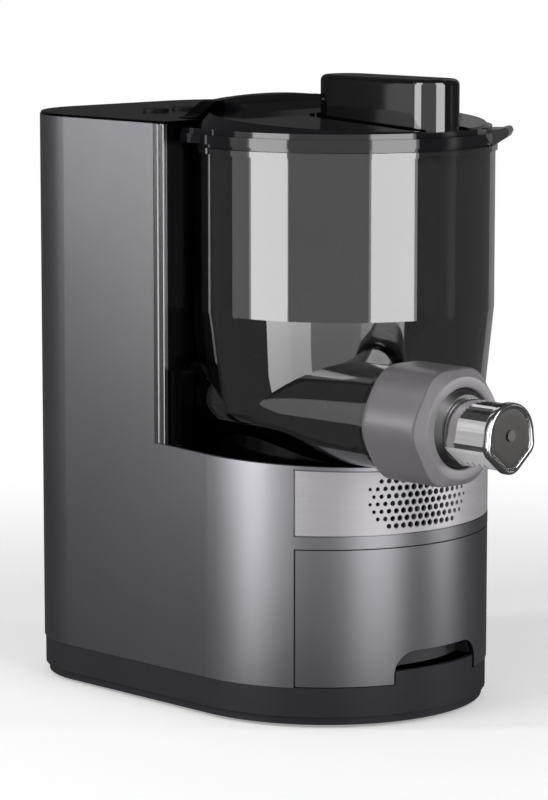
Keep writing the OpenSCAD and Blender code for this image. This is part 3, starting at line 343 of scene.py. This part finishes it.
# Each row, in millimetres: distance from the back, how far inside the outer radius, and the share of
# the lobes' depth. The rows run from the back over the outside to the front, and back in the bore.
NUT_PROFILE = (
    (0.0, 5.4, 0.0), (0.0, 2.6, 0.3), (0.3, 1.4, 0.55), (1.0, 0.6, 0.8), (2.2, 0.12, 0.95),
    (4.0, 0.0, 1.0), (12.0, 0.0, 1.0), (22.0, 0.0, 1.0), (32.0, 0.0, 1.0), (39.4, 0.0, 1.0),
    (40.2, 0.12, 1.0), (40.8, 0.4, 1.0), (41.3, 0.85, 1.0), (42.6, 2.1, 0.85), (44.0, 3.5, 0.6),
    (45.2, 4.7, 0.35), (45.9, 5.4, 0.2), (46.3, 5.9, 0.1), (46.48, 6.4, 0.05), (46.5, 7.0, 0.0),
    (46.5, 11.2, 0.0), (46.38, 11.8, 0.0), (46.1, 12.2, 0.0), (45.4, 12.45, 0.0),
    (40.0, 12.55, 0.0), (16.0, 12.55, 0.0), (15.9, 5.5, 0.0), (0.0, 5.4, 0.0),
)
PROFILE_LENGTH = max(along for along, _, _ in NUT_PROFILE)


def nut_ring(along, inside, lobes):
    """One ring of the nut, from a row of its profile, stretched to the CAD nut's length."""
    ring = []
    for a in full_turn(NUT_POINTS):
        r = nut_r - inside * MM - lobes * NUT_DIP / 2 * (1 - math.cos(NUT_LOBES * a))
        ring.append((nut_x + r * math.cos(a), nut_high[1] - nut_l * along / PROFILE_LENGTH,
                     nut_z + r * math.sin(a)))
    return ring


loft("nut_shell", [nut_ring(*row) for row in NUT_PROFILE], materials["nut"], "nut",
     stands_for="lock_nut")

# The die's cap: a polished rim round a recessed, darker face. Its outline runs round four circles;
# each row: x and z from the die's axis, and radius, in millimetres.
CAP_CIRCLES = ((0.0, 0.0, 17.5), (-10.1, -5.0, 8.0), (10.1, -5.0, 8.0), (0.0, -12.0, 9.0))
CAP_POINTS = 144
# How far the cap stands out round the die's outline, in millimetres
CAP_PROUD = 1.0
# Each row, in millimetres: depth behind the cap's front, and how far the die's outline is grown
RIM_PROFILE = (
    (5.0, -4.0), (5.0, 0.4), (4.85, 0.8), (4.5, CAP_PROUD), (1.3, CAP_PROUD), (0.6, 0.85),
    (0.2, 0.5), (0.0, 0.0), (0.0, -0.8), (0.15, -1.4), (0.5, -1.85), (1.2, -2.1), (1.3, -4.0),
)
FACE_PROFILE = ((1.29, -2.05), (1.25, -2.4), (1.15, -3.4), (1.1, -6.0))
cap_low, cap_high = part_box("die_cap")
cap_x = (cap_low[0] + cap_high[0]) / 2
cap_z = cap_high[2] - (CAP_CIRCLES[0][2] + CAP_PROUD) * MM


def cap_ring(depth, grow):
    """The die's outline, grown by so many millimetres, at a depth behind the cap's front."""
    ring = []
    for a in full_turn(CAP_POINTS):
        ux, uz = math.cos(a), math.sin(a)
        x, z, r = max(CAP_CIRCLES, key=lambda c: c[0] * ux + c[1] * uz + c[2])
        ring.append((cap_x + (x + (r + grow) * ux) * MM, cap_low[1] + depth * MM,
                     cap_z + (z + (r + grow) * uz) * MM))
    return ring


loft("cap_rim", [cap_ring(*row) for row in RIM_PROFILE], materials["die_metal"], "machine",
     stands_for="die_cap")
cap_face = moulded("cap_face_steel", (0.06, 0.0585, 0.053), 0.36, 0.04, metallic=0.8, grain=700.0,
                   shift=0.1)
loft("cap_face", [cap_ring(*row) for row in FACE_PROFILE], cap_face, "machine",
     close_last=True)


# ---------------------------------------------------------------- studio
# Distances are in metres and run from the part's axis. Angles are in degrees from the front.

# Strength of the white room as it lights the part, and of the floor's glow where it is looked at
ROOM_LIGHT = 0.3
FLOOR_LIFT = 0.3
FLOOR_HALF = 6.0
# The floor's shadow is whole up to the first distance, and gone beyond the second
SHADOW_FADE = (0.3, 0.85)
# The corners of a square, in turn
SQUARE = ((-1, -1), (1, -1), (1, 1), (-1, 1))
# The two strip lights, and the two lights behind the cards
STRIP_REACH = 1.1
STRIP_LOW = 0.03
HIDDEN_REACH = 1.3
# The ring of upright cards: distance, height, and about how many degrees one card takes
CARD_REACH = 0.95
CARD_TOP = 1.3
CARD_STEP = 19.0
# Heights of the flat cards over the floor
FLOOR_CARD_UP = 0.6 * MM
FOOT_CARD_UP = 1.2 * MM
# A foot card runs between two distances, and is dark up to a third one
FOOT_NEAR = 0.25
FOOT_FAR = 1.05
FOOT_DARK = 0.36


def stage_plane(name, corners, material):
    mesh = bpy.data.meshes.new(name)
    mesh.from_pydata(corners, [], [tuple(range(len(corners)))])
    thing = bpy.data.objects.new(name, mesh)
    bpy.context.scene.collection.objects.link(thing)
    mesh.materials.append(material)
    return thing


def math_node(tree, operation, first, second):
    node = tree.nodes.new("ShaderNodeMath")
    node.operation = operation
    for socket, value in zip(node.inputs, (first, second)):
        if isinstance(value, float):
            socket.default_value = value
        else:
            tree.links.new(value, socket)
    return node.outputs[0]


def looked_at(tree):
    """1 for a ray of the camera, or one that metal or glass sends on, and 0 for falling light."""
    path = tree.nodes.new("ShaderNodeLightPath")
    through = math_node(tree, "MAXIMUM", path.outputs["Is Camera Ray"],
                        path.outputs["Is Transmission Ray"])
    return math_node(tree, "MAXIMUM", through, path.outputs["Is Glossy Ray"])


def axis_distance(tree, place):
    """How far a place on the floor is from the part's axis."""
    length = tree.nodes.new("ShaderNodeVectorMath")
    length.operation = "LENGTH"
    tree.links.new(place, length.inputs[0])
    return length.outputs["Value"]


# The world is white to look at and lights the part at a plain level
world = bpy.data.worlds.new("studio")
bpy.context.scene.world = world
world.use_nodes = True
sky = world.node_tree
brightness = ranged(sky, looked_at(sky), (0.0, 1.0), (ROOM_LIGHT, 1.0))
sky.links.new(brightness, sky.nodes["Background"].inputs["Strength"])
sky.nodes["Background"].inputs["Color"].default_value = WHITE

# The floor keeps the shadow near the part and turns into the white background further out
floor_material, floor_tree, floor_shader = new_material("floor_paint")
floor_place = coordinates(floor_tree)
floor_grain = noise(floor_tree, floor_place, 60.0, detail=3.0)
floor_tree.links.new(colours(floor_tree, floor_grain, (0.9, 0.9, 0.9), (0.92, 0.92, 0.92)),
                     floor_shader.inputs["Base Color"])
floor_shader.inputs["Roughness"].default_value = 0.9
floor_shader.inputs["Specular IOR Level"].default_value = 0.1
floor_shader.inputs["Emission Color"].default_value = WHITE
floor_seen = looked_at(floor_tree)
floor_tree.links.new(math_node(floor_tree, "MULTIPLY", floor_seen, FLOOR_LIFT),
                     floor_shader.inputs["Emission Strength"])
far = ranged(floor_tree, axis_distance(floor_tree, floor_place), SHADOW_FADE, (0.0, 1.0), "SMOOTHSTEP")
white = floor_tree.nodes.new("ShaderNodeEmission")
blend = floor_tree.nodes.new("ShaderNodeMixShader")
floor_tree.links.new(math_node(floor_tree, "MULTIPLY", floor_seen, far), blend.inputs["Fac"])
floor_tree.links.new(floor_shader.outputs[0], blend.inputs[1])
floor_tree.links.new(white.outputs[0], blend.inputs[2])
floor_tree.links.new(blend.outputs[0], floor_tree.nodes["Material Output"].inputs["Surface"])
stage_plane("floor", [(x * FLOOR_HALF, y * FLOOR_HALF, 0) for x, y in SQUARE], floor_material)


def around(angle, distance, height):
    """A point at an angle from the front, positive to the right."""
    a = math.radians(angle)
    return Vector((math.sin(a) * distance, -math.cos(a) * distance, height))


def soft_box(name, angle, distance, width, low, high, power):
    """An upright area light that faces the part."""
    middle = (low + high) / 2
    light = bpy.data.lights.new(name, "AREA")
    light.shape = "RECTANGLE"
    light.size = width
    light.size_y = high - low
    light.energy = power
    thing = bpy.data.objects.new(name, light)
    thing.location = around(angle, distance, middle)
    aim = Vector((0, 0, middle)) - thing.location
    thing.rotation_euler = aim.to_track_quat("-Z", "Y").to_euler()
    bpy.context.scene.collection.objects.link(thing)
    return thing


def glowing(name):
    """A nearly black material whose white glow still needs its strength."""
    material, tree, shader = new_material(name)
    shader.inputs["Base Color"].default_value = (0.004, 0.004, 0.004, 1.0)
    shader.inputs["Emission Color"].default_value = WHITE
    return material, tree, shader


def cloth(name, tone):
    """The matt surface of a card, that shows at about the given tone."""
    material, _, shader = glowing(name)
    shader.inputs["Roughness"].default_value = 1.0
    shader.inputs["Specular IOR Level"].default_value = 0.0
    shader.inputs["Emission Strength"].default_value = tone
    return material


def gloss_card(name, corners, material):
    """A card that only shows in gloss, as a photographer's black flag does."""
    card = stage_plane(name, corners, material)
    card.visible_camera = False
    card.visible_diffuse = False
    card.visible_shadow = False
    card.visible_transmission = False


def flags(angle_from, angle_to, material):
    """A row of upright cards between two angles."""
    count = max(1, round((angle_to - angle_from) / CARD_STEP))
    step = (angle_to - angle_from) / count
    for i in range(count):
        start = angle_from + i * step
        left, right = around(start, CARD_REACH, 0), around(start + step, CARD_REACH, 0)
        gloss_card(f"flag_{start:.0f}",
                   [(left.x, left.y, 0), (right.x, right.y, 0),
                    (right.x, right.y, CARD_TOP), (left.x, left.y, CARD_TOP)], material)


dark_cloth = cloth("dark_cloth", 0.05)
grey_cloth = cloth("grey_cloth", 0.42)
side_cloth = cloth("side_cloth", 0.2)

soft_box("strip_left", -99.0, STRIP_REACH, 0.585, STRIP_LOW, CARD_TOP, 5.8)
soft_box("strip_right", -8.0, STRIP_REACH, 0.64, STRIP_LOW, CARD_TOP, 6.1)
# Two lights behind the flags, which only matt and brushed surfaces pick up
for light in (soft_box("wash_left", -128.0, HIDDEN_REACH, 0.16, 0.3, 1.0, 5.6),
              soft_box("front_fill", 42.0, HIDDEN_REACH, 0.2, 0.02, 0.5, 4.5)):
    light.visible_transmission = False

# A ring of dark flags with two gaps, so that dark gloss shows the two strips and little else. The
# flags between the strips and just past the left one are grey, and a few behind the part's right
# side are half as light, which metal shows as a soft sheen.
flags(-83.0, -26.0, grey_cloth)
flags(10.0, 96.0, dark_cloth)
flags(96.0, 128.0, side_cloth)
flags(128.0, 229.0, dark_cloth)
flags(229.0, 245.0, grey_cloth)
# Dark cards just over the floor and overhead keep white out of the gloss
for name, height in (("floor_card", FLOOR_CARD_UP), ("top_card", CARD_TOP)):
    gloss_card(name, [(x * CARD_REACH, y * CARD_REACH, height) for x, y in SQUARE], dark_cloth)

# On the floor under and between the strips glowing cards fade towards the part, again for gloss
# alone. Each row: name, angle of the middle, half the width in degrees, and glow at the far end.
FOOT_CARDS = (
    ("foot_left", -84.0, 17.0, 2.6),
    ("foot_mid", -49.0, 18.0, 0.8),
    ("foot_right", -15.0, 16.0, 1.3),
)
for name, middle, half, glow in FOOT_CARDS:
    foot_material, foot_tree, foot_shader = glowing(name)
    away = axis_distance(foot_tree, coordinates(foot_tree))
    fade = ranged(foot_tree, away, (FOOT_DARK, CARD_REACH), (0.0, glow))
    foot_tree.links.new(fade, foot_shader.inputs["Emission Strength"])
    left, right = middle - half, middle + half
    corners = ((left, FOOT_NEAR), (right, FOOT_NEAR), (right, FOOT_FAR), (left, FOOT_FAR))
    gloss_card(name, [tuple(around(angle, reach, FOOT_CARD_UP)) for angle, reach in corners],
               foot_material)


# ---------------------------------------------------------------- camera

# The camera's place in millimetres from the source's own origin, its tilt up from straight down,
# and its turn to the right of straight ahead
CAMERA_PLACE = (-1482.0, -1490.0, 490.0)
CAMERA_TILT = 81.63
CAMERA_TURN = 44.0

camera_data = bpy.data.cameras.new("camera")
camera_data.sensor_width = 36.0
camera_data.lens = 157.5
camera_data.clip_end = 50.0
camera = bpy.data.objects.new("camera", camera_data)
camera.location = (CAMERA_PLACE[0] * MM, (CAMERA_PLACE[1] + MID_Y) * MM, CAMERA_PLACE[2] * MM)
camera.rotation_euler = (math.radians(CAMERA_TILT), 0.0, math.radians(-CAMERA_TURN))
bpy.context.scene.collection.objects.link(camera)
bpy.context.scene.camera = camera

bpy.context.scene.view_settings.view_transform = "Standard"
